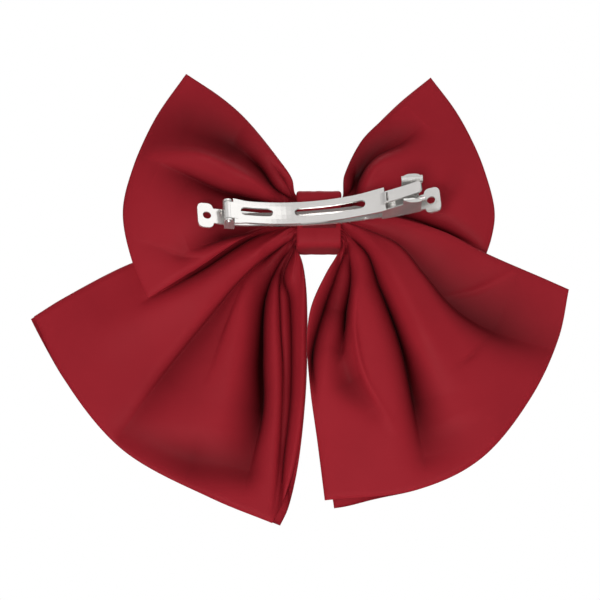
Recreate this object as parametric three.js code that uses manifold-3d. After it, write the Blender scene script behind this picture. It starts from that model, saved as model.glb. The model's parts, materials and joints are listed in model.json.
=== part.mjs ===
// Hair bow on a French barrette. Millimetres, +Z up as worn, the head side faces -Y.
// The origin is the middle of the barrette's hair channel.
import * as THREE from "three";
import { mergeVertices } from "three/addons/utils/BufferGeometryUtils.js";
import Module from "manifold-3d";

const wasm = await Module();
wasm.setup();

// ---------------------------------------------------------------- driving dimensions
const GAP = 0.3; // left between pieces that touch

// barrette: u runs along it towards the catch, v across it, w towards the head
const BARRETTE_TILT = THREE.MathUtils.degToRad(4.45); // catch end is the higher one
const HALF_LENGTH = 40;
const CHANNEL_MIDDLE = 2.3; // w of the origin, half way from base to arm
const BASE_RADIUS = 100;
const BASE_THICKNESS = 0.7;
const BASE_HALF_WIDTH = 2.3;
const TAB_HALF_WIDTH = 4.5;
const TAB_START = 34.9;
const TAB_CORNER = 1.8;
const TAB_HOLE_RADIUS = 1.35;
const TAB_HOLE_U = 36.9;

const ARM_THICKNESS = 0.7;
const ARM_LOWEST_U = -4.5;
const ARM_LOWEST_W = 4.6;
const ARM_BEND = 0.0079; // w grows by this times the square of the way from the lowest place
const ARM_HALF_WIDTH = 4.2;
const ARM_SLOT_HALF_WIDTH = 1.5;
const ARM_SLOTS = [
  [-25.8, -15.2],
  [-8.1, 15.2],
];
const TONGUE_START = 21.8;
const TONGUE_END = 33.3;
const TONGUE_HALF_WIDTH = 2.05;
const TONGUE_RAISE = 0.8;

const HINGE_U = -29.9;
const HINGE_HALF_SPAN = 3.3; // inner faces of the two hinge ears
const HINGE_EAR_THICKNESS = 0.7;
const PIN_RADIUS = 0.7;
const KNUCKLE_BORE = 0.78;
const KNUCKLE_RADIUS = 1.4;

const LEAF_THICKNESS = 0.3;
const LEAF_HALF_WIDTH = 1.7;
const LEAF_ROOT_U = -25;
const LEAF_TIP_U = 14.4;
const LEAF_LOWEST_U = -5;
const LEAF_LOWEST_W = 2.3;
const LEAF_BEND = 0.0042;

const CATCH_START = 20.5;
const CATCH_END = 33.2;
const CATCH_WALL_V = 3.05; // inner face
const CATCH_WALL_THICKNESS = 0.45;
const CATCH_FLOOR_THICKNESS = 0.45;
const WING_START = 27.2;
const WING_END = 34.2;
const WING_REACH = 5.4;

// bow: x across, s up in the bow's own plane, d towards the head
const BOW_LEAN = THREE.MathUtils.degToRad(14); // the loops lean to the head, the tails stand off
const BOW_ORIGIN = new THREE.Vector3(0, 11, 3.2);
const PLY = 1.0;
const KNOT_HALF_WIDTH = 7.5;
const KNOT_HALF_HEIGHT = 9.8;
const KNOT_HALF_DEPTH = 7;
const BAND_THICKNESS = 1.2;
const THREAD_RADIUS = 0.35;
const PAD_GAP = 0.15;
const PAD_HALF_HEIGHT = 2.1;
const PAD_HALF_WIDTH = 5.5;

// ---------------------------------------------------------------- materials
function satin() {
  return new THREE.MeshStandardMaterial({ color: 0x8f2029, roughness: 0.5, metalness: 0 });
}

function nickel() {
  return new THREE.MeshStandardMaterial({ color: 0xc9c8c6, roughness: 0.18, metalness: 1 });
}

function springSteel() {
  return new THREE.MeshStandardMaterial({ color: 0xb9b8b6, roughness: 0.22, metalness: 1 });
}

function thread() {
  return new THREE.MeshStandardMaterial({ color: 0x6d161d, roughness: 0.7, metalness: 0 });
}

function glue() {
  return new THREE.MeshStandardMaterial({ color: 0xd8d2c4, roughness: 0.5, metalness: 0 });
}

// ---------------------------------------------------------------- geometry helpers
function closed(positions, indices) {
  const geometry = new THREE.BufferGeometry();
  geometry.setAttribute("position", new THREE.Float32BufferAttribute(positions, 3));
  geometry.setIndex(indices);
  return geometry;
}

// A closed body through equal rings of points, capped at both ends by flat fans over the outline.
function loft(rings, capShape) {
  const size = rings[0].length;
  const positions = rings.flat().flatMap((p) => [p.x, p.y, p.z]);
  const indices = [];
  for (let i = 0; i + 1 < rings.length; i += 1) {
    for (let j = 0; j < size; j += 1) {
      const k = (j + 1) % size;
      const a = i * size + j;
      const b = i * size + k;
      indices.push(a, b, b + size, a, b + size, a + size);
    }
  }
  const clockwise = THREE.ShapeUtils.isClockWise(capShape);
  const last = (rings.length - 1) * size;
  for (const triangle of THREE.ShapeUtils.triangulateShape(capShape, [])) {
    const [a, b, c] = clockwise ? [...triangle].reverse() : triangle;
    indices.push(a, c, b);
    indices.push(last + a, last + b, last + c);
  }
  return outward(closed(positions, indices));
}

// Turns every triangle round if the body's volume comes out negative.
function outward(geometry) {
  const p = geometry.getAttribute("position");
  const index = geometry.getIndex().array;
  const [a, b, c] = [new THREE.Vector3(), new THREE.Vector3(), new THREE.Vector3()];
  let volume = 0;
  for (let i = 0; i < index.length; i += 3) {
    a.fromBufferAttribute(p, index[i]);
    b.fromBufferAttribute(p, index[i + 1]);
    c.fromBufferAttribute(p, index[i + 2]);
    volume += a.dot(b.cross(c));
  }
  if (volume < 0) {
    for (let i = 0; i < index.length; i += 3) {
      [index[i + 1], index[i + 2]] = [index[i + 2], index[i + 1]];
    }
  }
  return geometry;
}

function toManifold(geometry) {
  const bare = geometry.clone();
  bare.deleteAttribute("normal");
  bare.deleteAttribute("uv");
  const merged = mergeVertices(bare, 1e-4);
  return new wasm.Manifold(
    new wasm.Mesh({
      numProp: 3,
      vertProperties: new Float32Array(merged.getAttribute("position").array),
      triVerts: new Uint32Array(merged.getIndex().array),
    }),
  );
}

function fromManifold(solid) {
  const mesh = solid.getMesh();
  const positions = [];
  for (let i = 0; i < mesh.vertProperties.length; i += mesh.numProp) {
    positions.push(mesh.vertProperties[i], mesh.vertProperties[i + 1], mesh.vertProperties[i + 2]);
  }
  return closed(positions, Array.from(mesh.triVerts));
}

function joined(first, ...others) {
  let solid = toManifold(first);
  for (const other of others) {
    solid = solid.add(toManifold(other));
  }
  return fromManifold(solid);
}

function cut(first, ...others) {
  let solid = toManifold(first);
  for (const other of others) {
    solid = solid.subtract(toManifold(other));
  }
  return fromManifold(solid);
}

// Barrette point to its own group's axes: w is minus y.
function bp(u, v, w) {
  return new THREE.Vector3(u, CHANNEL_MIDDLE - w, v);
}

// A plate that follows curve(u), with halfWidth at each station and a camber towards the bow.
function plate(stations, curve, thickness, camber = 0) {
  const across = camber ? [-1, -0.6, -0.2, 0.2, 0.6, 1] : [-1, 1];
  const rings = stations.map(([u, half, middle = 0]) => {
    const w = curve(u);
    const slope = (curve(u + 0.05) - curve(u - 0.05)) / 0.1;
    const length = Math.hypot(1, slope);
    const ring = [];
    for (const side of [0.5, -0.5]) {
      const order = side > 0 ? across : [...across].reverse();
      for (const t of order) {
        const rise = side * thickness - camber * t * t;
        ring.push(bp(u - (slope * rise) / length, middle + t * half, w + rise / length));
      }
    }
    return ring;
  });
  const cap = rings[0].map((p) => new THREE.Vector2(p.z, -p.y));
  return loft(rings, cap);
}

// Stations from one u to another at an even pitch, with a half width that may vary.
function span(from, to, pitch, half) {
  const count = Math.max(1, Math.round((to - from) / pitch));
  const stations = [];
  for (let i = 0; i <= count; i += 1) {
    const u = from + ((to - from) * i) / count;
    stations.push([u, typeof half === "function" ? half(u) : half]);
  }
  return stations;
}

// A prism of the given outline in (u, v), run along w from low to high.
function prismAlongW(outline, low, high) {
  const bottom = outline.map(([u, v]) => bp(u, v, low));
  const top = outline.map(([u, v]) => bp(u, v, high));
  return loft([bottom, top], outline.map(([u, v]) => new THREE.Vector2(u, v)));
}

function roundSlot(from, to, half) {
  const outline = [];
  const steps = 10;
  for (let i = 0; i <= steps; i += 1) {
    const a = -Math.PI / 2 + (Math.PI * i) / steps;
    outline.push([to - half + half * Math.cos(a), half * Math.sin(a)]);
  }
  for (let i = 0; i <= steps; i += 1) {
    const a = Math.PI / 2 + (Math.PI * i) / steps;
    outline.push([from + half + half * Math.cos(a), half * Math.sin(a)]);
  }
  return outline;
}

function circle(u, v, radius, segments = 24) {
  const outline = [];
  for (let i = 0; i < segments; i += 1) {
    const a = (2 * Math.PI * i) / segments;
    outline.push([u + radius * Math.cos(a), v + radius * Math.sin(a)]);
  }
  return outline;
}

// A round bar along v, centred on (u, w).
function bar(u, w, radius, from, to, segments = 24) {
  const ring = (v) => circle(u, w, radius, segments).map(([a, b]) => bp(a, v, b));
  return loft([ring(from), ring(to)], circle(0, 0, radius, segments).map(([a, b]) => new THREE.Vector2(a, b)));
}

// ---------------------------------------------------------------- barrette curves
const BEND_END = 34;

function baseCurve(u) {
  const reach = Math.min(Math.abs(u), BEND_END);
  const onArc = (reach * reach) / (2 * BASE_RADIUS);
  return onArc + (Math.abs(u) - reach) * (BEND_END / BASE_RADIUS);
}

function armCurve(u) {
  return ARM_LOWEST_W + ARM_BEND * (u - ARM_LOWEST_U) ** 2;
}

const HINGE_W = armCurve(HINGE_U) - KNUCKLE_RADIUS + ARM_THICKNESS / 2;

function leafCurve(u) {
  return LEAF_LOWEST_W + LEAF_BEND * (u - LEAF_LOWEST_U) ** 2;
}

// ---------------------------------------------------------------- barrette parts
function tabHalfWidth(u) {
  const fromEnd = HALF_LENGTH - Math.abs(u);
  const fromStart = Math.abs(u) - TAB_START;
  const near = Math.min(fromEnd, fromStart);
  if (near >= TAB_CORNER) return TAB_HALF_WIDTH;
  const drop = TAB_CORNER - near;
  return TAB_HALF_WIDTH - TAB_CORNER + Math.sqrt(Math.max(0, TAB_CORNER ** 2 - drop ** 2));
}

function basePlate() {
  const neck = 2.7;
  const tabPitch = 0.3;
  const leftTab = span(-HALF_LENGTH, -TAB_START, tabPitch, tabHalfWidth);
  const rightTab = span(TAB_START, HALF_LENGTH, tabPitch, tabHalfWidth);
  const body = span(-TAB_START + 0.4, TAB_START - 0.4, 1.9, (u) => {
    const reach = Math.abs(u);
    return BASE_HALF_WIDTH + (neck - BASE_HALF_WIDTH) * THREE.MathUtils.smoothstep(reach, 18, 27);
  });
  const strip = plate([...leftTab, ...body, ...rightTab], baseCurve, BASE_THICKNESS);
  const ears = [1, -1].map((side) => hingeEar(side));
  const bridge = plate(
    [[HINGE_U - 1.6, HINGE_HALF_SPAN + HINGE_EAR_THICKNESS], [HINGE_U + 1.6, HINGE_HALF_SPAN + HINGE_EAR_THICKNESS]],
    baseCurve,
    BASE_THICKNESS,
  );
  const whole = joined(strip, bridge, ...ears);
  const holes = [-TAB_HOLE_U, TAB_HOLE_U].map((u) => prismAlongW(circle(u, 0, TAB_HOLE_RADIUS), -5, 20));
  const pinBore = bar(HINGE_U, HINGE_W, KNUCKLE_BORE, -10, 10);
  return cut(whole, ...holes, pinBore);
}

// One upright cheek bent up from the base, rounded over the pin.
function hingeEar(side) {
  const inner = side * HINGE_HALF_SPAN;
  const outer = side * (HINGE_HALF_SPAN + HINGE_EAR_THICKNESS);
  const half = 1.55;
  const foot = baseCurve(HINGE_U) - 0.1;
  const outline = [
    [HINGE_U - half, foot],
    [HINGE_U + half, foot],
  ];
  const steps = 8;
  for (let i = 0; i <= steps; i += 1) {
    const a = (Math.PI * i) / steps;
    outline.push([HINGE_U + half * Math.cos(a), HINGE_W + half * Math.sin(a)]);
  }
  const ring = (v) => outline.map(([u, w]) => bp(u, v, w));
  return loft([ring(inner), ring(outer)], outline.map(([u, w]) => new THREE.Vector2(u, w)));
}

function hingePin() {
  const reach = HINGE_HALF_SPAN + HINGE_EAR_THICKNESS + 0.35;
  return bar(HINGE_U, HINGE_W, PIN_RADIUS, -reach, reach);
}

function armHalfWidth(u) {
  const flare = THREE.MathUtils.smoothstep(-u, 23, 28);
  const shoulder = THREE.MathUtils.smoothstep(u, 12, 20);
  return ARM_HALF_WIDTH - 0.2 + 0.6 * flare + 0.3 * shoulder;
}

function claspArm() {
  const knuckleHalf = HINGE_HALF_SPAN - GAP;
  const root = HINGE_U + KNUCKLE_RADIUS + 0.5;
  const mainPlate = plate(
    [...span(root, TONGUE_START - 0.2, 1.7, armHalfWidth)],
    armCurve,
    ARM_THICKNESS,
    0.35,
  );
  const neck = plate([[HINGE_U, knuckleHalf], [root + 1.2, knuckleHalf]], armCurve, ARM_THICKNESS);
  const knuckle = bar(HINGE_U, HINGE_W, KNUCKLE_RADIUS, -knuckleHalf, knuckleHalf);
  const raised = (u) => armCurve(u) + TONGUE_RAISE * THREE.MathUtils.smoothstep(u, TONGUE_START - 1.4, TONGUE_START);
  const tongueStations = span(TONGUE_START - 1.6, TONGUE_END - 1, 0.8, TONGUE_HALF_WIDTH);
  tongueStations.push([TONGUE_END - 0.4, TONGUE_HALF_WIDTH - 0.25], [TONGUE_END, TONGUE_HALF_WIDTH - 0.8]);
  const tongue = plate(tongueStations, raised, ARM_THICKNESS);
  const whole = joined(mainPlate, neck, knuckle, tongue);
  const slots = ARM_SLOTS.map(([from, to]) => prismAlongW(roundSlot(from, to, ARM_SLOT_HALF_WIDTH), 0, 30));
  const stepSlot = prismAlongW(
    [
      [TONGUE_START + 0.1, -1.6],
      [TONGUE_START + 0.8, -1.6],
      [TONGUE_START + 0.8, 1.6],
      [TONGUE_START + 0.1, 1.6],
    ],
    0,
    30,
  );
  return cut(whole, ...slots, stepSlot, bar(HINGE_U, HINGE_W, KNUCKLE_BORE, -10, 10));
}

function tensionLeaf() {
  const stations = span(LEAF_ROOT_U, LEAF_TIP_U, 2.15, LEAF_HALF_WIDTH);
  stations[0][1] = LEAF_HALF_WIDTH - 0.7;
  stations[stations.length - 1][1] = LEAF_HALF_WIDTH - 0.7;
  return plate(stations, leafCurve, LEAF_THICKNESS);
}

const CATCH_FLOOR_RISE = BASE_THICKNESS / 2 + GAP + CATCH_FLOOR_THICKNESS / 2;

function catchFloor() {
  const lift = (u) => baseCurve(u) + CATCH_FLOOR_RISE;
  return plate(span(CATCH_START, CATCH_END, 1.6, CATCH_WALL_V - 0.15), lift, CATCH_FLOOR_THICKNESS);
}

function wallFoot(u) {
  return baseCurve(u) + CATCH_FLOOR_RISE - CATCH_FLOOR_THICKNESS / 2;
}

function wallTop(u) {
  return armCurve(u) - 1.35;
}

// One spring side of the catch: a long upright wall with a finger wing curled outwards.
function catchSide(side) {
  const inner = CATCH_WALL_V;
  const outer = CATCH_WALL_V + CATCH_WALL_THICKNESS;
  const foot = 1.3;
  const wallRings = span(CATCH_START, CATCH_END, 1.3, 0).map(([u]) => [
    bp(u, side * inner, wallFoot(u)),
    bp(u, side * outer, wallFoot(u)),
    bp(u, side * outer, wallTop(u)),
    bp(u, side * inner, wallTop(u)),
  ]);
  const box = [[0, 0], [1, 0], [1, foot], [0, foot]].map(([a, b]) => new THREE.Vector2(a, b));
  const wall = loft(wallRings, box);
  return joined(wall, catchWing(side));
}

function catchWing(side) {
  const middle = (WING_START + WING_END) / 2;
  const half = (WING_END - WING_START) / 2;
  const curl = 1.1;
  const rings = [];
  const count = 10;
  for (let i = 0; i <= count; i += 1) {
    const u = WING_START + ((WING_END - WING_START) * i) / count;
    const fade = Math.abs((u - middle) / half) ** 3.2;
    const reach = WING_REACH - 1.5 * fade;
    const top = armCurve(middle) + 0.9;
    const low = Math.min(wallTop(u) - 1.2, top - curl - 0.3);
    const outerLine = [];
    const innerLine = [];
    const v0 = CATCH_WALL_V;
    const t = CATCH_WALL_THICKNESS;
    outerLine.push([v0, low]);
    innerLine.push([v0 + t, low]);
    const turns = 5;
    for (let k = 0; k <= turns; k += 1) {
      const a = (Math.PI / 2) * (k / turns);
      outerLine.push([v0 + t + curl - (curl + t) * Math.cos(a), top - curl + (curl + t) * Math.sin(a)]);
      innerLine.push([v0 + t + curl - curl * Math.cos(a), top - curl + curl * Math.sin(a)]);
    }
    outerLine.push([Math.max(reach, v0 + t + curl + 0.1), top + t]);
    innerLine.push([Math.max(reach, v0 + t + curl + 0.1), top]);
    const profile = [...outerLine, ...innerLine.reverse()];
    rings.push(profile.map(([v, w]) => bp(u, side * v, w)));
  }
  const cap = rings[0].map((p) => new THREE.Vector2(p.z, -p.y));
  return loft(rings, cap);
}

// ---------------------------------------------------------------- bow surfaces
// A smooth curve through a few outline points, read by its share of the way along.
function outlineCurve(points) {
  const curve = new THREE.CatmullRomCurve3(points.map(([x, s]) => new THREE.Vector3(x, s, 0)), false, "centripetal");
  return (share) => curve.getPointAt(Math.min(1, Math.max(0, share)));
}

// The patch inside four outline curves: inner to outer along r, lower to upper along t.
function patch(lower, upper, inner, outer) {
  const [l, u, i, o] = [lower, upper, inner, outer].map(outlineCurve);
  return (r, t) => {
    const point = l(r).multiplyScalar(1 - t).addScaledVector(u(r), t);
    point.addScaledVector(i(t), 1 - r).addScaledVector(o(t), r);
    point.addScaledVector(i(0), -(1 - r) * (1 - t)).addScaledVector(i(1), -(1 - r) * t);
    point.addScaledVector(o(0), -r * (1 - t)).addScaledVector(o(1), -r * t);
    return point;
  };
}

const CLOSER_AT_KNOT = 1.5; // rows of points lie closer together near the knot

// A sheet of even thickness over the patch, with its depth given by depth(r, t).
function ply(surface, depth, alongR = 14, alongT = 8) {
  const positions = [];
  const indices = [];
  const row = alongT + 1;
  const layer = (alongR + 1) * row;
  for (const face of [0.5, -0.5]) {
    for (let i = 0; i <= alongR; i += 1) {
      for (let j = 0; j <= alongT; j += 1) {
        const r = (i / alongR) ** CLOSER_AT_KNOT;
        const t = j / alongT;
        const point = surface(r, t);
        positions.push(point.x, point.y, depth(r, t) + face * PLY);
      }
    }
  }
  const quad = (a, b, c, d) => indices.push(a, b, c, a, c, d);
  for (let i = 0; i < alongR; i += 1) {
    for (let j = 0; j < alongT; j += 1) {
      const a = i * row + j;
      quad(a, a + row, a + row + 1, a + 1);
      quad(layer + a, layer + a + 1, layer + a + row + 1, layer + a + row);
    }
  }
  const border = [];
  for (let i = 0; i < alongR; i += 1) border.push(i * row);
  for (let j = 0; j < alongT; j += 1) border.push(alongR * row + j);
  for (let i = alongR; i > 0; i -= 1) border.push(i * row + alongT);
  for (let j = alongT; j > 0; j -= 1) border.push(j);
  for (let k = 0; k < border.length; k += 1) {
    const a = border[k];
    const b = border[(k + 1) % border.length];
    quad(a, layer + a, layer + b, b);
  }
  return outward(closed(positions, indices));
}

const smooth = THREE.MathUtils.smoothstep;

// Depth of a ply: its stack height at the knot runs out to its own plane, plus a soft puff.
function pillow(knotDepth, plane, spread, puff) {
  return (r, t) => {
    const out = smooth(r, 0.02, 0.35);
    const dome = smooth(r, 0.08, 0.4) * Math.sin(Math.PI * Math.min(1, r * 1.02)) * (4 * t * (1 - t)) ** 0.8;
    return knotDepth * (1 - out) + (plane + spread) * out + puff * dome;
  };
}

// Outlines [x, s] of the panels: lower and upper edge from the knot outwards, inner and outer end from below.
const LEFT_LOOP = patch(
  [[-0.8, 1], [-8, 0.3], [-16, -1.4], [-23, -4.8], [-39.3, -16], [-56.6, -26.8]],
  [[-0.8, 7], [-7.6, 7.8], [-9.4, 14.5], [-13.5, 21.4], [-24.4, 35.3], [-32.4, 42.7], [-44.8, 51.4]],
  [[-0.8, 1], [-0.8, 7]],
  [[-56.6, -26.8], [-62.4, -13], [-65.4, 3], [-62.2, 18.5], [-55.2, 35.5], [-44.8, 51.4]],
);

const RIGHT_LOOP = patch(
  [[0.8, 1], [8, 0], [20, -4.2], [35, -10.3], [53, -18]],
  [[0.8, 7], [7.6, 7.8], [9, 17.5], [14.5, 29.8], [21, 36.7], [28, 43.6], [38.2, 52.2]],
  [[0.8, 1], [0.8, 7]],
  [[53, -18], [58, -4], [59.1, 5], [55.7, 20], [51.6, 30.5], [46.4, 40.5], [38.2, 52.2]],
);

const LEFT_TAIL = patch(
  [
    [-0.8, -7], [-8, -7.4], [-8.6, -10.3], [-4.5, -18.5], [-3.8, -30.5],
    [-4.5, -59], [-7.3, -79], [-12.2, -94], [-15.4, -100.5],
  ],
  [[-0.8, -0.5], [-8, -1], [-25, -3.2], [-45, -8.3], [-61, -11.9], [-85, -24.5], [-95, -31]],
  [[-0.8, -7], [-0.8, -0.5]],
  [[-15.4, -100.5], [-35.3, -92.3], [-64.9, -76], [-84.7, -52], [-95, -31]],
);

const RIGHT_TAIL = patch(
  [
    [0.8, -7], [8, -7.4], [8.6, -10.3], [2.2, -18.5], [-2.7, -30],
    [-4, -40.5], [-3, -57.5], [-0.7, -75], [1.7, -94.5],
  ],
  [[0.8, -0.5], [8, -0.2], [22, 0.8], [41.2, -4.1], [54.8, -11.3], [74.4, -20.2], [82.6, -24]],
  [[0.8, -7], [0.8, -0.5]],
  [[1.7, -94.5], [31.7, -91], [52.4, -80.9], [69.2, -60.6], [78.9, -40.3], [82.6, -24]],
);

// Where each pair of plies lies: stack heights in the knot, plane beyond it, and puff.
const SOFT_PIECES = [
  ["left_loop", LEFT_LOOP, { head: 3.2, show: 1.0, plane: 3.2, puff: 6 }],
  ["right_loop", RIGHT_LOOP, { head: -0.9, show: -3.2, plane: -2.6, puff: 5.5 }],
  ["left_tail", LEFT_TAIL, { head: -0.9, show: -3.2, plane: -4.8, puff: 1.6 }],
  ["right_tail", RIGHT_TAIL, { head: 3.2, show: 1.0, plane: 4.4, puff: 1.6 }],
];
const HALF_SPREAD = 0.75;

function roundedRing(halfHeight, halfDepth, corner) {
  const outline = [];
  const steps = 5;
  const corners = [
    [1, 1, 0],
    [-1, 1, 1],
    [-1, -1, 2],
    [1, -1, 3],
  ];
  for (const [a, b, quarter] of corners) {
    for (let i = 0; i <= steps; i += 1) {
      const angle = (Math.PI / 2) * (quarter + i / steps);
      outline.push([
        a * (halfHeight - corner) + corner * Math.cos(angle),
        b * (halfDepth - corner) + corner * Math.sin(angle),
      ]);
    }
  }
  return outline;
}

// A tube of the knot's outline, run along x.
function knotTube(halfWidth, halfHeight, halfDepth, corner) {
  const outline = roundedRing(halfHeight, halfDepth, corner);
  const ring = (x) => outline.map(([s, d]) => new THREE.Vector3(x, s, d));
  return loft([ring(-halfWidth), ring(halfWidth)], outline.map(([s, d]) => new THREE.Vector2(s, d)));
}

function knotBand() {
  const outside = knotTube(KNOT_HALF_WIDTH, KNOT_HALF_HEIGHT, KNOT_HALF_DEPTH, 3.5);
  const inside = knotTube(
    KNOT_HALF_WIDTH + 1,
    KNOT_HALF_HEIGHT - BAND_THICKNESS,
    KNOT_HALF_DEPTH - BAND_THICKNESS,
    2.3,
  );
  return cut(outside, inside);
}

function gatheringThread() {
  const away = GAP + THREAD_RADIUS;
  const outline = roundedRing(
    KNOT_HALF_HEIGHT - BAND_THICKNESS - away,
    KNOT_HALF_DEPTH - BAND_THICKNESS - away,
    1.6,
  );
  const half = THREAD_RADIUS;
  const outer = roundedRing(
    KNOT_HALF_HEIGHT - BAND_THICKNESS - GAP,
    KNOT_HALF_DEPTH - BAND_THICKNESS - GAP,
    2.0,
  );
  const inner = outline.map(([s, d]) => [s * 0.965, d * 0.93]);
  const tube = (ring, reach) =>
    loft(
      [-reach, reach].map((x) => ring.map(([s, d]) => new THREE.Vector3(x, s, d))),
      ring.map(([s, d]) => new THREE.Vector2(s, d)),
    );
  return cut(tube(outer, half), tube(inner, half + 1));
}

// ---------------------------------------------------------------- placing
const barretteToWorld = new THREE.Matrix4().makeRotationY(-BARRETTE_TILT);

const bowToWorld = new THREE.Matrix4()
  .makeBasis(
    new THREE.Vector3(1, 0, 0),
    new THREE.Vector3(0, -Math.sin(BOW_LEAN), Math.cos(BOW_LEAN)),
    new THREE.Vector3(0, -Math.cos(BOW_LEAN), -Math.sin(BOW_LEAN)),
  )
  .setPosition(BOW_ORIGIN);

// Glue between the knot's head side and the back of the base, wedge shaped because the bow leans.
function gluePad() {
  const faceY = (z) => {
    const s = (z - BOW_ORIGIN.z) / Math.cos(BOW_LEAN) + (KNOT_HALF_DEPTH + PAD_GAP) * Math.tan(BOW_LEAN);
    return new THREE.Vector3(0, s, KNOT_HALF_DEPTH + PAD_GAP).applyMatrix4(bowToWorld).y;
  };
  const front = CHANNEL_MIDDLE + BASE_THICKNESS / 2 + PAD_GAP + 0.25;
  const outline = [
    [front, -PAD_HALF_HEIGHT],
    [faceY(-PAD_HALF_HEIGHT), -PAD_HALF_HEIGHT],
    [faceY(PAD_HALF_HEIGHT), PAD_HALF_HEIGHT],
    [front, PAD_HALF_HEIGHT],
  ];
  const ring = (x) => outline.map(([y, z]) => new THREE.Vector3(x, y, z));
  return loft([ring(-PAD_HALF_WIDTH), ring(PAD_HALF_WIDTH)], outline.map(([y, z]) => new THREE.Vector2(y, z)));
}

const bow = new THREE.Group();
bow.name = "hair_bow";

function addPiece(name, geometry, material, matrix) {
  if (matrix) geometry.applyMatrix4(matrix);
  geometry.computeVertexNormals();
  const mesh = new THREE.Mesh(geometry, material);
  mesh.name = name;
  bow.add(mesh);
}

for (const [name, surface, lie] of SOFT_PIECES) {
  const headSide = pillow(lie.head, lie.plane, HALF_SPREAD, lie.puff);
  const showSide = pillow(lie.show, lie.plane, -HALF_SPREAD, -lie.puff);
  addPiece(`${name}_head_ply`, ply(surface, headSide), satin(), bowToWorld);
  addPiece(`${name}_show_ply`, ply(surface, showSide), satin(), bowToWorld);
}
addPiece("knot_band", knotBand(), satin(), bowToWorld);
addPiece("gathering_thread", gatheringThread(), thread(), bowToWorld);
addPiece("glue_pad", gluePad(), glue(), null);
addPiece("base_plate", basePlate(), nickel(), barretteToWorld);
addPiece("hinge_pin", hingePin(), nickel(), barretteToWorld);
addPiece("clasp_arm", claspArm(), nickel(), barretteToWorld);
addPiece("tension_leaf", tensionLeaf(), springSteel(), barretteToWorld);
addPiece("catch_floor", catchFloor(), springSteel(), barretteToWorld);
addPiece("catch_side_upper", catchSide(1), springSteel(), barretteToWorld);
addPiece("catch_side_lower", catchSide(-1), springSteel(), barretteToWorld);

export default bow;
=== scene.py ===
import json
import math

import bpy
import numpy as np
from mathutils import Matrix, Vector


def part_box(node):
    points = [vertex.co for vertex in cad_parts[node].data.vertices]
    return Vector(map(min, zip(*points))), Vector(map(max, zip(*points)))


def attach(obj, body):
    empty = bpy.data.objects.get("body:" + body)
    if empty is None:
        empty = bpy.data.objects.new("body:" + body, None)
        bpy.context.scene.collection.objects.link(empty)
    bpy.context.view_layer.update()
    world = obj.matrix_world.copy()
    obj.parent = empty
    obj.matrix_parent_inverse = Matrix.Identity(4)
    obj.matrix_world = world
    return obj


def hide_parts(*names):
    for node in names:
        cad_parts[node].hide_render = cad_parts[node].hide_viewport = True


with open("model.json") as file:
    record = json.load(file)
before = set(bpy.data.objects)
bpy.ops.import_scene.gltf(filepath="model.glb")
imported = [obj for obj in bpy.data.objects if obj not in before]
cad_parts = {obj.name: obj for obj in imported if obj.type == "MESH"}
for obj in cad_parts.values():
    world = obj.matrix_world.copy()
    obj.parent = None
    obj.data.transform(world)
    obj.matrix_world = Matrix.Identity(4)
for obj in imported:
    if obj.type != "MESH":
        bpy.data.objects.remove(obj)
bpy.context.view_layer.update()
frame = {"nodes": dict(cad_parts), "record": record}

MM = 0.001

# ------------------------------------------------------------------ driving values
CAMERA_BELOW = math.radians(28)  # the bow is seen from below the horizon
CAMERA_LENS = 150
CAMERA_WIDTH = 198 * MM  # what the picture spans at the object
CAMERA_AIM = (-6.3 * MM, -28.1 * MM)  # sideways and up from the origin, as seen
BOW_LEAN = math.radians(14)
FLOOR_DROP = 0.75
PLATING_METALLIC = 0.74  # under 1, so that the catch doesn't mirror the red cloth fully
SATIN_DARK = (0.250, 0.0118, 0.0192)
SATIN_LIGHT = (0.300, 0.0148, 0.0236)
NICKEL_COLOUR = (0.72, 0.70, 0.68)
SPRING_COLOUR = (0.62, 0.61, 0.59)
WORLD_IN_METAL = 0.85  # brightness of the surroundings in reflections
WORLD_ON_CLOTH = 0.22  # and as soft light on matt surfaces
EDGE_ROUND = 2.2  # mm over which the two plies close on their seam
CREASE_SHADE_DEPTH = 6.0  # mm, a fold this deep gets the full painted crease shade
# painted shade: in deep folds the satin's colour is multiplied towards this dark colour, in place of real
# shade
CREASE_SHADE_COLOUR = (0.07, 0.03, 0.035)
BAND_HALF_WIDTH = 7.6  # mm, across the bow
BAND_HALF_HEIGHT = 9.9  # mm, up the bow
BAND_HALF_DEPTH = 7.0  # mm, towards the head
BAND_SQUARENESS = 0.34  # 1 is an ellipse, less is boxier
METAL_EDGE = 0.00009  # the metal's edges are rounded by this, in metres
METAL_EDGE_ANGLE = math.radians(40)
CURVE_STEPS = 60  # points between two outline points, before they are spaced evenly


# ------------------------------------------------------------------ small helpers
def bow_matrix():
    """Bow axes to the frame: x across, s up in the bow's plane, d towards the head."""
    low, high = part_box("knot_band")
    centre = (low + high) / 2
    up = Vector((0, -math.sin(BOW_LEAN), math.cos(BOW_LEAN)))
    head = Vector((0, -math.cos(BOW_LEAN), -math.sin(BOW_LEAN)))
    matrix = Matrix((Vector((1, 0, 0)), up, head)).transposed().to_4x4()
    matrix.translation = centre
    return matrix


def smoothstep(x, low, high):
    y = np.clip((x - low) / (high - low), 0, 1)
    return y * y * (3 - 2 * y)


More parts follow.
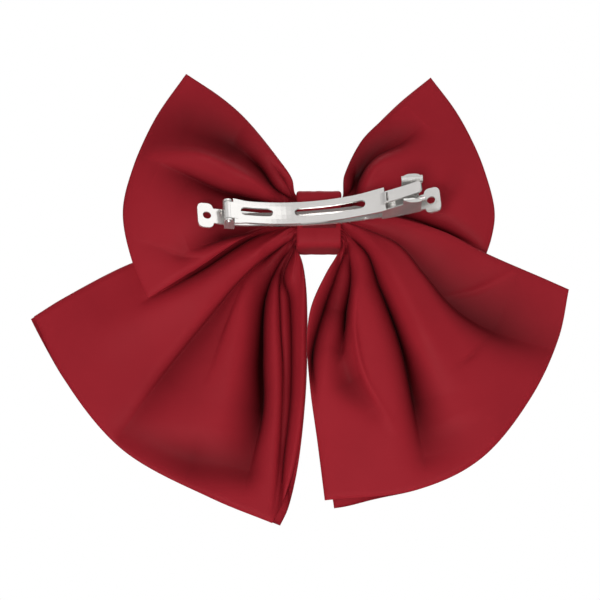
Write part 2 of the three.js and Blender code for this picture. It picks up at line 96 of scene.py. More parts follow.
def between_middle_points(a, b, c, d, steps, with_end):
    """Points of the smooth curve from b to c, which a and d steer."""
    gaps = [max(1e-6, np.linalg.norm(v - u)) ** 0.5 for u, v in ((a, b), (b, c), (c, d))]
    k0, k1, k2, k3 = np.cumsum([0] + gaps)
    t = np.linspace(k1, k2, steps, endpoint=with_end)[:, None]
    a1 = (k1 - t) / (k1 - k0) * a + (t - k0) / (k1 - k0) * b
    a2 = (k2 - t) / (k2 - k1) * b + (t - k1) / (k2 - k1) * c
    a3 = (k3 - t) / (k3 - k2) * c + (t - k2) / (k3 - k2) * d
    b1 = (k2 - t) / (k2 - k0) * a1 + (t - k0) / (k2 - k0) * a2
    b2 = (k3 - t) / (k3 - k1) * a2 + (t - k1) / (k3 - k1) * a3
    return (k2 - t) / (k2 - k1) * b1 + (t - k1) / (k2 - k1) * b2


def outline_curve(points, samples=400):
    """A smooth line through a few outline points, sampled evenly along its length."""
    p = np.array(points, float)
    p = np.vstack([2 * p[0] - p[1], p, 2 * p[-1] - p[-2]])
    last = len(p) - 3
    spans = range(1, last + 1)
    line = np.vstack([between_middle_points(*p[i - 1:i + 3], CURVE_STEPS, i == last) for i in spans])
    length = np.concatenate([[0], np.cumsum(np.linalg.norm(np.diff(line, axis=0), axis=1))])
    even = np.linspace(0, length[-1], samples)
    return np.stack([np.interp(even, length, line[:, k]) for k in (0, 1)], axis=1)


def read_curve(curve, share):
    at = np.clip(share, 0, 1) * (len(curve) - 1)
    return np.stack([np.interp(at, np.arange(len(curve)), curve[:, k]) for k in (0, 1)], axis=-1)


def patch_points(edges, r, t):
    """The flat place of each (r, t) inside the panel's four edges: lower, upper, inner, outer."""
    lower, upper, inner, outer = edges
    out = r[..., None]
    up = t[..., None]
    along_lower = read_curve(lower, r)
    along_upper = read_curve(upper, r)
    along_inner = read_curve(inner, t)
    along_outer = read_curve(outer, t)
    inner_corners = (1 - up) * inner[0] + up * inner[-1]
    outer_corners = (1 - up) * outer[0] + up * outer[-1]
    corners = (1 - out) * inner_corners + out * outer_corners
    return along_lower * (1 - up) + along_upper * up + along_inner * (1 - out) + along_outer * out - corners


def grid_mesh(name, points, uv):
    """A mesh from an array of points with shape (rows, columns, 3), with uv in the same grid."""
    rows, columns = points.shape[:2]
    index = np.arange(rows * columns).reshape(rows, columns)
    quads = np.stack([index[:-1, :-1], index[1:, :-1], index[1:, 1:], index[:-1, 1:]], axis=-1).reshape(-1, 4)
    mesh = bpy.data.meshes.new(name)
    mesh.from_pydata(points.reshape(-1, 3).tolist(), [], quads.tolist())
    layer = mesh.uv_layers.new(name="cloth")
    flat = uv.reshape(-1, 2)
    layer.data.foreach_set("uv", flat[quads.reshape(-1)].astype(np.float32).ravel())
    mesh.polygons.foreach_set("use_smooth", [True] * len(mesh.polygons))
    mesh.update()
    piece = bpy.data.objects.new(name, mesh)
    bpy.context.scene.collection.objects.link(piece)
    return piece


# ------------------------------------------------------------------ the cloth panels
def fold(path, depth, left, right, lap=0.35, sharp=1.5):
    """One fold in mm. Its path runs out from the knot in the bow's plane, and at each of its points it has
    a depth (valleys negative) and how far its two sides reach, left and right of someone walking outwards.
    lap draws the sides together, so that a deep fold closes over itself. sharp is the crease's exponent."""
    return {"path": path, "depth": depth, "left": left, "right": right, "lap": lap, "sharp": sharp}


def ridge(path, height, reach):
    """A rounded fold that stands towards the head, alike on both sides."""
    return fold(path, height, reach, reach, lap=0, sharp=2)


LEFT_LOOP_FOLDS = [
    # the deep fold under the upper edge
    fold([(-8, 7.5), (-14.5, 11.6), (-20, 19), (-29, 26), (-43, 31)],
         [-2, -5.5, -5.6, -3.6, -1], [1.2, 2.4, 5, 8, 9], [1, 1.6, 2.6, 6, 8]),
    # the bright roll, and the valley that it overhangs
    ridge([(-18, 9.5), (-27, 14.5), (-39, 20.5), (-52, 22.5)], [2, 3.2, 3.2, 1.2], [2, 3, 3.4, 3.5]),
    fold([(-8, 4.5), (-21, 7), (-33, 10), (-43, 14.5), (-53, 19)],
         [-2.5, -5.5, -5, -3.4, -0.8], [1.5, 4, 6, 7, 6], [1.5, 2, 2, 2, 2]),
    # the hollow behind the hinge, and the faint crease below it
    fold([(-10, 0.5), (-24, -3.8), (-32, -6.2), (-43, -10.8)],
         [-1.5, -5.4, -5.4, -1], [2, 2.4, 2.6, 3], [2, 5, 6, 5]),
    fold([(-37.5, -13.8), (-45, -13.2), (-55.5, -9)], [-0.4, -1, -0.3], [2.5, 3, 3], [1, 1.2, 1.2]),
    # the darker hollow towards the upper corner
    fold([(-30, 26), (-46, 33), (-60, 28)], [-1.4, -2.4, -1.6], [6, 8, 7], [9, 12, 10], lap=0, sharp=2),
    # the small tuck beside the knot
    fold([(-8.6, 9), (-11.8, 14.5), (-16, 20.5)], [-1.2, -1.8, -0.3], [0.8, 0.9, 1], [0.8, 0.9, 1]),
    ridge([(-12, -0.5), (-28, -8.5), (-46, -18.5)], [0.8, 1.6, 0.8], [2, 3, 4]),
]

RIGHT_LOOP_FOLDS = [
    # the fold that climbs from the knot towards the upper corner
    fold([(11.5, 8.5), (14, 17.5), (19, 24), (28, 28.8), (35.5, 35.5)],
         [-3.5, -6.5, -5, -3.2, 0], [2.5, 5, 7, 8, 8], [1.5, 2, 2.4, 3, 4], lap=0.2, sharp=1.7),
    ridge([(15, 13), (19, 19.5), (30, 25)], [1, 1.8, 0.8], [2, 2.6, 4]),
    # two small gathers beside the knot
    fold([(8, 9), (11, 14), (12, 19.5)], [-1, -1.8, -0.3], [0.8, 0.9, 1], [0.8, 0.9, 1]),
    # the shallow hollow beyond the clip's end
    fold([(40, 5), (44, 12), (48, 19)], [-0.5, -1.3, -0.3], [3, 3.5, 4], [2.5, 3, 3.5], lap=0, sharp=2),
    ridge([(22, 0), (38, -5), (51, -11)], [0.4, 1.2, 0.8], [3, 4, 5]),
    # the cloth is pressed back along the tail's edge, which lies over it
    fold([(17, 4), (30, 2.2), (42, -2), (54, -8)],
         [-2, -4.4, -5.2, -1.4], [1.4, 2, 2.2, 2], [2, 2.4, 2.4, 2]),
]

LEFT_TAIL_FOLDS = [
    # the narrow deep fold beside the rolled inner edge
    fold([(-8, -7.8), (-11.6, -17), (-9.8, -25), (-9.2, -56), (-11.6, -80), (-13.2, -98)],
         [-2, -5, -7, -7, -4, -2], [0.9, 1.1, 1.3, 1.3, 1, 0.8], [0.8, 1, 1.3, 1.4, 1.1, 0.8]),
    # the thin pleat next to it
    fold([(-9, -8), (-12.8, -16), (-12.9, -30), (-11.9, -52), (-13, -78), (-14.6, -95)],
         [-1, -3, -3.6, -2.6, -2, -0.8], [0.6, 0.7, 0.8, 0.8, 0.7, 0.6], [0.6, 0.8, 1, 1, 1, 0.8]),
    # the second deep fold, which opens downwards
    fold([(-8.9, -7), (-13.2, -12.6), (-17.4, -24), (-18.4, -45), (-18.6, -62), (-23, -82)],
         [-2, -4.5, -8, -8, -6.2, -2], [0.8, 1, 1.3, 1.5, 2, 3], [0.8, 1.5, 3.2, 6.5, 9, 10]),
    # the long slanting fold
    fold([(-7.5, -4), (-16.8, -9.8), (-26, -18.4), (-36, -31), (-51, -50.3), (-64, -69.5)],
         [-2, -4.6, -3.8, -3.2, -2.8, -0.8], [1, 2.4, 5, 8, 8, 6], [0.8, 1, 1.3, 1.6, 1.8, 2]),
    # a faint crease
    fold([(-26, -22), (-31.5, -36), (-36.6, -51)], [-0.4, -0.9, -0.2], [1.2, 1.2, 1.2], [1.2, 1.4, 1.4]),
    # the soft hollow above the hem
    fold([(-64, -71), (-42, -80), (-24, -84)], [-0.8, -3.2, -1.5], [5, 7, 6], [5, 6, 6], lap=0, sharp=2),
    ridge([(-20, -11), (-25, -23), (-28, -42), (-31, -68)], [0.8, 1.8, 2, 0.6], [2, 4, 5, 7]),
    ridge([(-12, -4), (-26, -12), (-44, -23), (-70, -36)], [0.6, 1.8, 2.4, 1], [2, 4, 7, 9]),
    ridge([(-4.5, -12), (-4.8, -30), (-5, -60), (-9, -90)], [1, 2, 2, 1], [1.6, 2.4, 2.6, 2.4]),
    # the cloth is pressed back along the loop's edge, which lies over it
    fold([(-14, -1), (-23, -3.6), (-39.5, -14.6), (-56, -25)],
         [-2.4, -5, -6, -1], [2, 2.4, 2.6, 2], [2, 2, 2, 2]),
]

RIGHT_TAIL_FOLDS = [
    # the crescent pleat along the inner edge
    fold([(8.4, -11), (5, -20), (1, -31), (-2, -45), (-2, -60)],
         [-2.5, -7, -8.5, -7, -1], [0.9, 1.6, 2.3, 2, 1.6], [0.9, 1.3, 1.6, 1.4, 1.2]),
    # the pleat beside it, which ends in a soft hollow
    fold([(9.8, -10), (11, -19.5), (9.4, -31), (7.6, -43)],
         [-2.5, -7.5, -9, -2.5], [0.9, 1.1, 1.5, 2], [1, 2.2, 3.6, 3.5]),
    fold([(7, -44), (10, -55), (17.5, -64)], [-1.5, -3.2, -0.8], [3, 4, 3], [4, 5, 4], lap=0, sharp=2),
    ridge([(10.4, -12), (12, -24), (11.6, -38), (14.5, -53), (23, -69)],
          [0.6, 1.3, 1.4, 1.1, 0.3], [0.9, 1, 1, 1.2, 1.6]),
    # the long deep fold down the middle
    fold([(9, -4), (16, -11), (20, -21.5), (27, -42), (31, -62), (34, -79)],
         [-1.5, -4.5, -8, -7.5, -6, -2], [1, 1.4, 1.6, 4, 9, 9], [0.9, 1.8, 2.6, 3, 3.2, 4]),
    # the fold that widens into the soft hollow under the outer edge
    fold([(12, -1.2), (26.5, -8.4), (35, -18.5), (45, -30), (58, -38), (76, -44)],
         [-1, -3, -4, -4.6, -4.4, -2], [1.5, 3.5, 8, 12, 15, 15], [0.8, 1.1, 1.6, 3, 5, 8]),
    # small wrinkles
    fold([(54, -42), (49.5, -47), (44.5, -50)], [-0.3, -0.9, -0.2], [1.3, 1.5, 1.3], [1, 1, 1]),
    ridge([(44, -25.5), (53, -23.5), (65, -17.5)], [0.2, 0.6, 0.2], [1, 1.2, 1.2]),
    ridge([(14, -4), (24, -17), (33, -38), (44, -66)], [0.6, 1.8, 2.4, 1], [1.8, 4, 6, 9]),
]

# Outlines in mm in the bow's plane, from the knot outwards (lower, upper) and from low to high (inner,
# outer). knot is the depth of the head side and of the show side where they pass under the band, plane is
# their depth further out, puff how far the two layers stand apart, and slip how far the show layer's hem
# corners lie off.
PANELS = {
    "left_loop": {
        "lower": [(-0.8, -3), (-8, -2.2), (-16, -2.2), (-23, -4.8), (-39.3, -16), (-56.6, -26.8)],
        "upper": [(-0.8, 8), (-7.4, 8.6), (-9, 14.5), (-13.5, 21.4), (-24.4, 35.3), (-32.4, 42.7),
                  (-44.8, 51.4)],
        "outer": [(-56.6, -26.8), (-62.4, -13), (-65.4, 3), (-62.2, 18.5), (-55.2, 35.5), (-44.8, 51.4)],
        "inner": [(-0.8, -3), (-0.8, 8)],
        "knot": (3.2, 1.0),
        "plane": 3.6,
        "puff": 4.5,
        "folds": LEFT_LOOP_FOLDS,
    },
    "right_loop": {
        "lower": [(0.8, -3), (8, -3), (20, -6), (35, -10.3), (53, -18)],
        "upper": [(0.8, 8), (7.4, 8.6), (8.6, 17.5), (14.5, 29.8), (21, 36.7), (28, 43.6), (38.2, 52.2)],
        "outer": [(53, -18), (58, -4), (59.1, 5), (55.7, 20), (51.6, 30.5), (46.4, 40.5), (38.2, 52.2)],
        "inner": [(0.8, -3), (0.8, 8)],
        "knot": (-0.9, -3.2),
        "plane": -2.6,
        "puff": 4.5,
        "folds": RIGHT_LOOP_FOLDS,
    },
    "left_tail": {
        "lower": [(-0.8, -8), (-7.4, -8.6), (-5.8, -12), (-4.5, -18.5), (-3.8, -30.5), (-4.5, -59),
                  (-7.3, -79), (-12.2, -94), (-15.4, -100.5)],
        "upper": [(-0.8, 3), (-8, 3), (-25, 0), (-45, -8.3), (-61, -11.9), (-85, -24.5), (-95, -31)],
        "outer": [(-15.4, -100.5), (-35.3, -92.3), (-64.9, -76), (-84.7, -52), (-95, -31)],
        "inner": [(-0.8, -8), (-0.8, 3)],
        "knot": (-0.9, -3.2),
        "plane": -4.8,
        "puff": 1.2,
        "slip": {(1, 0): (2.6, -0.8), (1, 1): (-1.0, -0.9)},
        "folds": LEFT_TAIL_FOLDS,
    },
    "right_tail": {
        "lower": [(0.8, -8), (7.4, -8.6), (5.9, -12), (2.2, -18.5), (-2.7, -30), (-4, -40.5), (-3, -57.5),
                  (-0.7, -75), (1.7, -94.5)],
        "upper": [(0.8, 3), (8, 3), (22, 1.6), (41.2, -4.1), (54.8, -11.3), (74.4, -20.2), (82.6, -24)],
        "outer": [(1.7, -94.5), (31.7, -91), (52.4, -80.9), (69.2, -60.6), (78.9, -40.3), (82.6, -24)],
        "inner": [(0.8, -8), (0.8, 3)],
        "knot": (3.2, 1.0),
        "plane": 4.4,
        "puff": 1.2,
        "slip": {(1, 0): (3.0, -2.6)},
        "folds": RIGHT_TAIL_FOLDS,
    },
}

ROWS_OUT = 190
COLUMNS_ACROSS = 240
FOLD_SAMPLES = 70
LONGEST_END = 4.5  # mm over which the widest fold runs out past its last point
SIDE_BLEND = 0.4  # mm over which a fold changes from its left reach to its right reach
CHUNK = 8000  # places worked on at once, which keeps the memory small
GATHER_WAVES = 6
GATHER_HEIGHT = 0.4  # mm
SWELLS = 7
SWELL_HEIGHT = 0.5  # mm
LAYER_HALF_GAP = 0.9  # mm from the panel's middle to each layer
SHOW_FOLD_SHARE = 0.8  # the folds' depth on the show side, against the head side


def nearest_sample(flat, line):
    """For each place, the index of the nearest sample of the line, worked out a chunk at a time."""
    near = np.empty(len(flat), int)
    for start in range(0, len(flat), CHUNK):
        part = flat[start:start + CHUNK]
        near[start:start + CHUNK] = ((part[:, None] - line[None]) ** 2).sum(axis=2).argmin(axis=1)
    return near


def one_fold(one, flat):
    """What a single fold does to each place: its depth, and its pull sideways as a vector."""
    line = outline_curve(one["path"], FOLD_SAMPLES)
    corner = np.array([np.linalg.norm(line - np.array(p), axis=1).argmin() for p in one["path"]])
    along = np.arange(FOLD_SAMPLES)
    last = FOLD_SAMPLES - 1
    step = np.gradient(line, axis=0)
    pace = np.linalg.norm(step, axis=1).mean()
    step /= np.linalg.norm(step, axis=1)[:, None]
    near = nearest_sample(flat, line)
    beyond = ((flat - line[near]) * step[near]).sum(axis=1)
    at = np.clip(near + beyond / pace, 0, last)
    past_end = np.abs(near + beyond / pace - at) * pace
    beyond = np.where((near == 0) | (near == last), past_end, 0)
    foot = np.stack([np.interp(at, along, line[:, k]) for k in (0, 1)], axis=1)
    ahead = np.stack([np.interp(at, along, step[:, k]) for k in (0, 1)], axis=1)
    across = np.stack([-ahead[:, 1], ahead[:, 0]], axis=1)
    side = ((flat - foot) * across).sum(axis=1)
    deep, left, right = (np.interp(at, corner, one[key]) for key in ("depth", "left", "right"))
    blend = 0.5 + 0.5 * np.tanh(side / SIDE_BLEND)
    reach = left * blend + right * (1 - blend)
    q = side / reach
    end = np.exp(-((beyond / np.minimum(1.5 + reach, LONGEST_END)) ** 2))
    pull = one["lap"] * np.abs(deep) * q * np.exp(-q * q) * end
    return deep * np.exp(-np.abs(q) ** one["sharp"]) * end, pull[:, None] * across


def fold_field(folds, place):
    """What all folds do to each place in the bow's plane: its depth, and how far it shifts in the plane."""
    flat = place.reshape(-1, 2)
    depth = np.zeros(len(flat))
    shift = np.zeros_like(flat)
    for one in folds:
        deep, pull = one_fold(one, flat)
        depth += deep
        shift -= pull
    return depth.reshape(place.shape[:2]), shift.reshape(place.shape)


def gather(r, t, seed):
    """Fine pleats pressed together at the knot, gone by three tenths of the way out."""
    rng = np.random.default_rng(seed)
    phase = rng.uniform(0, 2 * math.pi, 3)
    near = smoothstep(r, 0, 0.04) * (1 - smoothstep(r, 0.05, 0.3))
    wave = np.sin(2 * math.pi * GATHER_WAVES * t + phase[0] + 3 * r)
    wave += 0.5 * np.sin(2 * math.pi * (GATHER_WAVES * 1.7) * t + phase[1])
    return GATHER_HEIGHT * near * wave


def slow_swell(r, t, seed):
    """Broad uneven swells in the cloth."""
    rng = np.random.default_rng(seed)
    total = np.zeros_like(r)
    for _ in range(SWELLS):
        a, b = rng.uniform(0.6, 3.2), rng.uniform(0.6, 3.6)
        total += np.sin(2 * math.pi * (a * r + b * t) + rng.uniform(0, 2 * math.pi)) / SWELLS
    return total * smoothstep(r, 0.1, 0.5)


def paint_crease_shade(piece, crease_shade):
    """Stores how deep in a fold each point lies. The satin's colour is darkened there as painted shade in the
    creases.
    """
    layer = piece.data.color_attributes.new("crease_shade", "FLOAT_COLOR", "POINT")
    colour = np.ones((crease_shade.size, 4), np.float32)
    colour[:, :3] = crease_shade.reshape(-1, 1)
    layer.data.foreach_set("color", colour.ravel())


def slip_corners(panel, place, r, t):
    """Moves the hem corners of the show layer a little off those of the head layer."""
    for (corner_r, corner_t), (dx, ds) in panel.get("slip", {}).items():
        near = np.exp(-(((r - corner_r) / 0.2) ** 2 + ((t - corner_t) / 0.12) ** 2))
        place = place + near[..., None] * np.array([dx, ds])
    return place


def distance_to_edge(edges, r, t):
    """How far in mm each point lies from the nearest long edge or the hem."""
    width = np.linalg.norm(read_curve(edges[1], r) - read_curve(edges[0], r), axis=-1)
    length = np.linalg.norm(edges[1][-1] - edges[1][0])
    return np.minimum(np.minimum(t, 1 - t) * width, (1 - r) * length)


def layer_depth(panel, side, r, t, rim, folds, seed):
    """How far in mm each point of one layer lies towards the head."""
    out = smoothstep(r, 0.02, 0.35)
    head_knot, show_knot = panel["knot"]
    knot_depth = head_knot if side > 0 else show_knot
    dome = smoothstep(r, 0.08, 0.4) * np.sin(math.pi * np.minimum(1, r * 1.02)) * (4 * t * (1 - t)) ** 0.8
    spread = LAYER_HALF_GAP * rim * side
    d = knot_depth * (1 - out) + (panel["plane"] + spread) * out
    d = d + side * panel["puff"] * dome
    share = 1.0 if side > 0 else SHOW_FOLD_SHARE
    d = d + share * folds * (0.5 + 0.5 * rim) * smoothstep(r, 0, 0.1)
    return d + SWELL_HEIGHT * slow_swell(r, t, seed) * rim + gather(r, t, seed)


def panel_ply(name, panel, side, matrix, seed):
    """One layer of a loop or tail: side is +1 for the head side and -1 for the show side."""
    rows = np.linspace(0, 1, ROWS_OUT) ** 1.15
    r, t = np.meshgrid(rows, np.linspace(0, 1, COLUMNS_ACROSS), indexing="ij")
    edges = [outline_curve(panel[key]) for key in ("lower", "upper", "inner", "outer")]
    place = patch_points(edges, r, t)
    folds, shift = fold_field(panel["folds"], place)
    if side < 0:
        place = slip_corners(panel, place, r, t)
    edge_mm = distance_to_edge(edges, r, t)
    rim = np.sqrt(np.clip(1 - (1 - np.clip(edge_mm / EDGE_ROUND, 0, 1)) ** 2, 0, 1))
    place = place + shift * smoothstep(edge_mm, 0, 3)[..., None] * smoothstep(r, 0, 0.08)[..., None]
    d = layer_depth(panel, side, r, t, rim, folds, seed)
    local = np.concatenate([place, d[..., None]], axis=-1) * MM
    world = local @ np.array(matrix.to_3x3()).T + np.array(matrix.translation)
    piece = grid_mesh(name, world, place * MM)
    # painted shade: on the head layer, fold depth becomes a mask that darkens the satin's colour in the
    # creases
    crease_shade = np.clip(-folds / CREASE_SHADE_DEPTH, 0, 1) * smoothstep(r, 0, 0.06) if side > 0 else np.zeros_like(r)
    paint_crease_shade(piece, crease_shade)
    return piece


# ------------------------------------------------------------------ materials
def new_material(name):
    material = bpy.data.materials.new(name)
    material.use_nodes = True
    nodes = material.node_tree.nodes
    nodes.clear()
    output = nodes.new("ShaderNodeOutputMaterial")
    shader = nodes.new("ShaderNodeBsdfPrincipled")
    material.node_tree.links.new(shader.outputs[0], output.inputs["Surface"])
    return material, nodes, material.node_tree.links, shader


def two_tone(nodes, links, factor, dark, light, low=0.0, high=1.0):
    """A colour that goes from dark to light with a factor."""
    ramp = nodes.new("ShaderNodeValToRGB")
    ramp.color_ramp.elements[0].position = low
    ramp.color_ramp.elements[0].color = (*dark, 1)
    ramp.color_ramp.elements[1].position = high
    ramp.color_ramp.elements[1].color = (*light, 1)
    links.new(factor, ramp.inputs["Fac"])
    return ramp.outputs["Color"]


def vary_roughness(nodes, links, shader, factor, low, high):
    rough = nodes.new("ShaderNodeMapRange")
    rough.inputs["To Min"].default_value = low
    rough.inputs["To Max"].default_value = high
    links.new(factor, rough.inputs["Value"])
    links.new(rough.outputs["Result"], shader.inputs["Roughness"])


def satin_material(name, dark, light):
    """Crimson polyester satin: fine weave, slight colour drift, soft sheen, and painted shade in its deep
    folds.
    """
    material, nodes, links, shader = new_material(name)
    coords = nodes.new("ShaderNodeTexCoord")
    drift = nodes.new("ShaderNodeTexNoise")
    drift.inputs["Scale"].default_value = 22
    drift.inputs["Detail"].default_value = 4
    links.new(coords.outputs["Object"], drift.inputs["Vector"])
    base = two_tone(nodes, links, drift.outputs["Fac"], dark, light, low=0.3, high=0.72)
    # painted shade: the colour is multiplied darker where the mask marks a deep fold
    crease_shade = nodes.new("ShaderNodeAttribute")
    crease_shade.attribute_name = "crease_shade"
    painted_shade_mix = nodes.new("ShaderNodeMix")
    painted_shade_mix.data_type = "RGBA"
    painted_shade_mix.blend_type = "MULTIPLY"
    painted_shade_mix.inputs["B"].default_value = (*CREASE_SHADE_COLOUR, 1)
    links.new(crease_shade.outputs["Fac"], painted_shade_mix.inputs["Factor"])
    links.new(base, painted_shade_mix.inputs["A"])
    links.new(painted_shade_mix.outputs["Result"], shader.inputs["Base Color"])
    weave = nodes.new("ShaderNodeTexWave")
    weave.wave_type = "BANDS"
    weave.bands_direction = "X"
    weave.inputs["Scale"].default_value = 900
    weave.inputs["Distortion"].default_value = 1.2
    weave.inputs["Detail"].default_value = 1
    links.new(coords.outputs["UV"], weave.inputs["Vector"])
    weft = nodes.new("ShaderNodeTexWave")
    weft.wave_type = "BANDS"
    weft.bands_direction = "Y"
    weft.inputs["Scale"].default_value = 700
    weft.inputs["Distortion"].default_value = 1.2
    links.new(coords.outputs["UV"], weft.inputs["Vector"])
    mix = nodes.new("ShaderNodeMath")
    mix.operation = "ADD"
    links.new(weave.outputs["Fac"], mix.inputs[0])
    links.new(weft.outputs["Fac"], mix.inputs[1])
    bump = nodes.new("ShaderNodeBump")
    bump.inputs["Strength"].default_value = 0.12
    bump.inputs["Distance"].default_value = 0.00006
    links.new(mix.outputs[0], bump.inputs["Height"])
    links.new(bump.outputs["Normal"], shader.inputs["Normal"])
    vary_roughness(nodes, links, shader, drift.outputs["Fac"], 0.46, 0.58)
    shader.inputs["Sheen Weight"].default_value = 0.015
    shader.inputs["Sheen Roughness"].default_value = 0.35
    shader.inputs["Sheen Tint"].default_value = (1.0, 0.45, 0.48, 1)
    shader.inputs["Specular IOR Level"].default_value = 0.045
    return material


def metal_material(name, colour, low, high, scratch):
    """Bright plated metal with faint rolling marks and smudges."""
    material, nodes, links, shader = new_material(name)
    coords = nodes.new("ShaderNodeTexCoord")
    smudge = nodes.new("ShaderNodeTexNoise")
    smudge.inputs["Scale"].default_value = 160
    smudge.inputs["Detail"].default_value = 5
    links.new(coords.outputs["Object"], smudge.inputs["Vector"])
    vary_roughness(nodes, links, shader, smudge.outputs["Fac"], low, high)
    stretch = nodes.new("ShaderNodeMapping")
    stretch.inputs["Scale"].default_value = (120, 900, 2600)
    links.new(coords.outputs["Object"], stretch.inputs["Vector"])
    marks = nodes.new("ShaderNodeTexNoise")
    marks.inputs["Scale"].default_value = 1
    marks.inputs["Detail"].default_value = 3
    links.new(stretch.outputs["Vector"], marks.inputs["Vector"])
    bump = nodes.new("ShaderNodeBump")
    bump.inputs["Strength"].default_value = scratch
    bump.inputs["Distance"].default_value = 0.00004
    links.new(marks.outputs["Fac"], bump.inputs["Height"])
    links.new(bump.outputs["Normal"], shader.inputs["Normal"])
    tint = two_tone(nodes, links, smudge.outputs["Fac"], [c * 0.86 for c in colour], colour)
    links.new(tint, shader.inputs["Base Color"])
    shader.inputs["Metallic"].default_value = PLATING_METALLIC
    return material


def plain_material(name, colour, rough_low, rough_high, scale):
    material, nodes, links, shader = new_material(name)
    coords = nodes.new("ShaderNodeTexCoord")
    noise = nodes.new("ShaderNodeTexNoise")
    noise.inputs["Scale"].default_value = scale
    links.new(coords.outputs["Object"], noise.inputs["Vector"])
    tint = two_tone(nodes, links, noise.outputs["Fac"], [c * 0.8 for c in colour], colour)
    links.new(tint, shader.inputs["Base Color"])
    vary_roughness(nodes, links, shader, noise.outputs["Fac"], rough_low, rough_high)
    return material


# ------------------------------------------------------------------ building the object
def knot_band(matrix, material):
    """The wrapped band: a soft rounded ring with small creases and rolled edges."""
    around = 220
    across = 60
    a = np.linspace(0, 2 * math.pi, around)
    x = np.linspace(-1, 1, across)
    angle, share = np.meshgrid(a, x, indexing="ij")
    c, s = np.cos(angle), np.sin(angle)
    height = BAND_HALF_HEIGHT * np.sign(c) * np.abs(c) ** BAND_SQUARENESS
    depth = BAND_HALF_DEPTH * np.sign(s) * np.abs(s) ** BAND_SQUARENESS
    edge = 1 - np.abs(share)
    roll = 1 - 0.09 * (1 - np.sqrt(np.clip(1 - (1 - np.clip(edge / 0.14, 0, 1)) ** 2, 0, 1)))
    middle = np.exp(-((share - 0.3 * np.cos(angle)) ** 2) * 2)
    crease = 0.03 * np.sin(9 * share + 1.4 * np.sin(2 * angle)) * middle
    crease += 0.015 * np.sin(15 * share + 2 * np.cos(angle))
    grow = 1 + crease / BAND_HALF_DEPTH
    waist = 1 - 0.03 * np.abs(s)
    width = share * BAND_HALF_WIDTH * waist
    local = np.stack([width, height * roll * grow, depth * roll * grow], axis=-1) * MM
    world = local @ np.array(matrix.to_3x3()).T + np.array(matrix.translation)
    uv = np.stack([share * BAND_HALF_WIDTH, angle * 8], axis=-1) * MM
    piece = grid_mesh("knot_band_satin", world, uv)
    piece.data.materials.append(material)
    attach(piece, "bow")
    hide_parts("knot_band")
    return piece


def build_cloth(matrix, satin):
    for number, (name, panel) in enumerate(PANELS.items()):
        for side, word in ((1, "head"), (-1, "show")):
            piece = panel_ply(f"{name}_{word}_satin", panel, side, matrix, seed=11 + number)
            piece.data.materials.append(satin)
            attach(piece, "bow")
            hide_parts(f"{name}_{word}_ply")


def dress_metal(nickel, spring):
    for node, obj in frame["nodes"].items():
        slot_name = next(s["material_slot"] for s in frame["record"]["subparts"] if s["node"] == node)
        if slot_name not in ("nickel_plate", "spring_steel"):
            continue
        obj.data.materials.clear()
        obj.data.materials.append(nickel if slot_name == "nickel_plate" else spring)
        for polygon in obj.data.polygons:
            polygon.use_smooth = True
        bevel = obj.modifiers.new("soft_edges", "BEVEL")
        bevel.width = METAL_EDGE
        bevel.segments = 2
        bevel.limit_method = "ANGLE"
        bevel.angle_limit = METAL_EDGE_ANGLE
        bevel.harden_normals = False
        smooth = obj.modifiers.new("even_shading", "WEIGHTED_NORMAL")
        smooth.keep_sharp = True


def surroundings():
    """White where the camera sees it, and otherwise soft light that is brighter from in front and above."""
    world = bpy.data.worlds.new("studio")
    bpy.context.scene.world = world
    world.use_nodes = True
    nodes, links = world.node_tree.nodes, world.node_tree.links
    nodes.clear()
    output = nodes.new("ShaderNodeOutputWorld")
    path = nodes.new("ShaderNodeLightPath")
    seen = nodes.new("ShaderNodeBackground")
    seen.inputs["Color"].default_value = (1, 1, 1, 1)
    seen.inputs["Strength"].default_value = 1.0
    lit = nodes.new("ShaderNodeBackground")
    coords = nodes.new("ShaderNodeTexCoord")
    split = nodes.new("ShaderNodeSeparateXYZ")
    links.new(coords.outputs["Generated"], split.inputs[0])
    ramp = nodes.new("ShaderNodeValToRGB")
    ramp.color_ramp.elements[0].position = 0.45
    ramp.color_ramp.elements[0].color = (0.1, 0.1, 0.1, 1)
    ramp.color_ramp.elements[1].position = 0.8
    ramp.color_ramp.elements[1].color = (1, 1, 1, 1)
    lift = nodes.new("ShaderNodeMapRange")
    lift.inputs["From Min"].default_value = -1
    lift.inputs["From Max"].default_value = 1
    front = nodes.new("ShaderNodeMath")
    front.operation = "MULTIPLY_ADD"
    front.inputs[1].default_value = -0.85
    links.new(split.outputs["Y"], front.inputs[0])
    up = nodes.new("ShaderNodeMath")
    up.operation = "MULTIPLY"
    up.inputs[1].default_value = 0.5
    links.new(split.outputs["Z"], up.inputs[0])
    links.new(up.outputs[0], front.inputs[2])
    links.new(front.outputs[0], lift.inputs["Value"])
    links.new(lift.outputs["Result"], ramp.inputs["Fac"])
    links.new(ramp.outputs["Color"], lit.inputs["Color"])
    soft = nodes.new("ShaderNodeMapRange")
    soft.inputs["To Min"].default_value = WORLD_IN_METAL
    soft.inputs["To Max"].default_value = WORLD_ON_CLOTH
    links.new(path.outputs["Is Diffuse Ray"], soft.inputs["Value"])
    links.new(soft.outputs["Result"], lit.inputs["Strength"])
    mix = nodes.new("ShaderNodeMixShader")
    links.new(path.outputs["Is Camera Ray"], mix.inputs[0])
    links.new(lit.outputs[0], mix.inputs[1])
    links.new(seen.outputs[0], mix.inputs[2])
    links.new(mix.outputs[0], output.inputs["Surface"])


def area_light(name, place, size, power):
    """A round lamp at a place in metres, turned towards the bow."""
    data = bpy.data.lights.new(name, "AREA")
    data.shape = "DISK"
    data.size = size
    data.energy = power
    light = bpy.data.objects.new(name, data)
    light.location = place
    light.rotation_mode = "QUATERNION"
    light.rotation_quaternion = (Vector((0, 0, -0.02)) - Vector(place)).to_track_quat("-Z", "Y")
    bpy.context.scene.collection.objects.link(light)


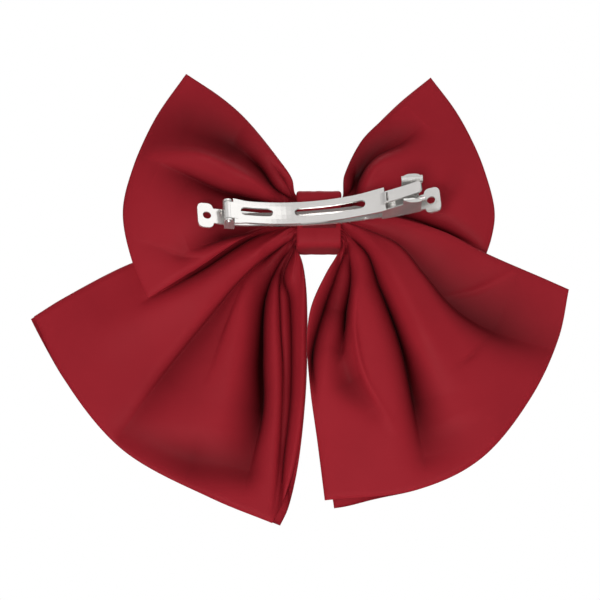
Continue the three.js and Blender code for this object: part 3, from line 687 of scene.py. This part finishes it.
def pale_floor():
    reach = 6
    corners = [(-reach, -reach, 0), (reach, -reach, 0), (reach, reach, 0), (-reach, reach, 0)]
    mesh = bpy.data.meshes.new("floor")
    mesh.from_pydata(corners, [], [(0, 1, 2, 3)])
    floor = bpy.data.objects.new("floor", mesh)
    floor.location = (0, 0, -FLOOR_DROP)
    bpy.context.scene.collection.objects.link(floor)
    mesh.materials.append(plain_material("pale_floor", (0.86, 0.86, 0.86), 0.7, 0.8, 4))


def studio():
    bpy.context.scene.view_settings.view_transform = "Standard"
    surroundings()
    area_light("key", (-0.10, -0.80, -0.52), 0.34, 5.7)
    area_light("fill", (0.5, -0.7, 0.5), 0.8, 1.2)
    area_light("back", (0.3, 0.9, 0.6), 0.7, 7)
    area_light("top", (0, 0.6, 1.5), 1.8, 30)
    pale_floor()


def camera():
    data = bpy.data.cameras.new("camera")
    data.lens = CAMERA_LENS
    data.sensor_width = 36
    distance = CAMERA_WIDTH * CAMERA_LENS / 36
    forward = Vector((0, math.cos(CAMERA_BELOW), math.sin(CAMERA_BELOW)))
    up = Vector((0, -math.sin(CAMERA_BELOW), math.cos(CAMERA_BELOW)))
    aim = Vector((CAMERA_AIM[0], 0, 0)) + up * CAMERA_AIM[1]
    obj = bpy.data.objects.new("camera", data)
    obj.location = aim - forward * distance
    obj.rotation_mode = "QUATERNION"
    obj.rotation_quaternion = forward.to_track_quat("-Z", "Y")
    data.clip_start = 0.01
    data.clip_end = 50
    bpy.context.scene.collection.objects.link(obj)
    bpy.context.scene.camera = obj


def dress_hidden(node, material):
    slots = frame["nodes"][node].data.materials
    slots.clear()
    slots.append(material)


matrix = bow_matrix()
satin = satin_material("crimson_satin", SATIN_DARK, SATIN_LIGHT)
nickel = metal_material("bright_nickel", NICKEL_COLOUR, 0.10, 0.24, 0.05)
spring = metal_material("spring_steel", SPRING_COLOUR, 0.14, 0.30, 0.08)
build_cloth(matrix, satin)
knot_band(matrix, satin)
dress_metal(nickel, spring)
dress_hidden("gathering_thread", plain_material("thread", (0.15, 0.01, 0.015), 0.6, 0.8, 3000))
dress_hidden("glue_pad", plain_material("glue", (0.16, 0.02, 0.025), 0.15, 0.3, 300))
studio()
camera()
